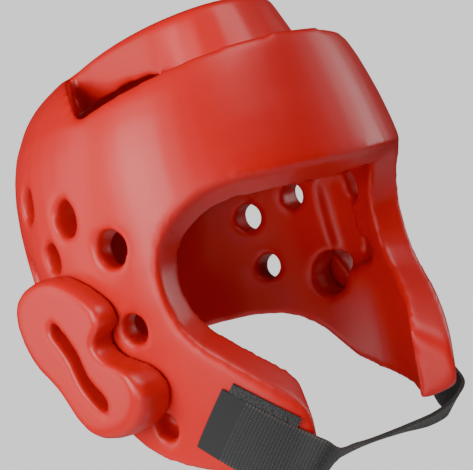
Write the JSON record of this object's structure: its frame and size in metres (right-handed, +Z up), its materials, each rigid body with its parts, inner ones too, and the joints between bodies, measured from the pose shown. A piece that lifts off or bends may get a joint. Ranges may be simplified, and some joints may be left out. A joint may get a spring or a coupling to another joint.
{
  "type": "foam head guard",
  "caption": "Open-face padded head guard in one dipped foam shell with vent holes, raised ear cups, a crown strip and a closed elastic chin strap.",
  "frame": {"origin": "the crown's inner face above the middle of the hollow, where the top of a head bears", "axes": "+Z up through the crown, the face opening toward -Y, the wearer's left at +X"},
  "size_m": [0.223, 0.2238, 0.2555],
  "materials": {
    "vinyl": "dipped gloss",
    "elastic": "woven matte",
    "hook_tape": "matte"
  },
  "bodies": {
    "root": {"shell": "vinyl", "ear_cup_right": "vinyl", "ear_cup_left": "vinyl", "chin_strap": "elastic", "strap_base": "hook_tape"}
  },
  "joints": []
}
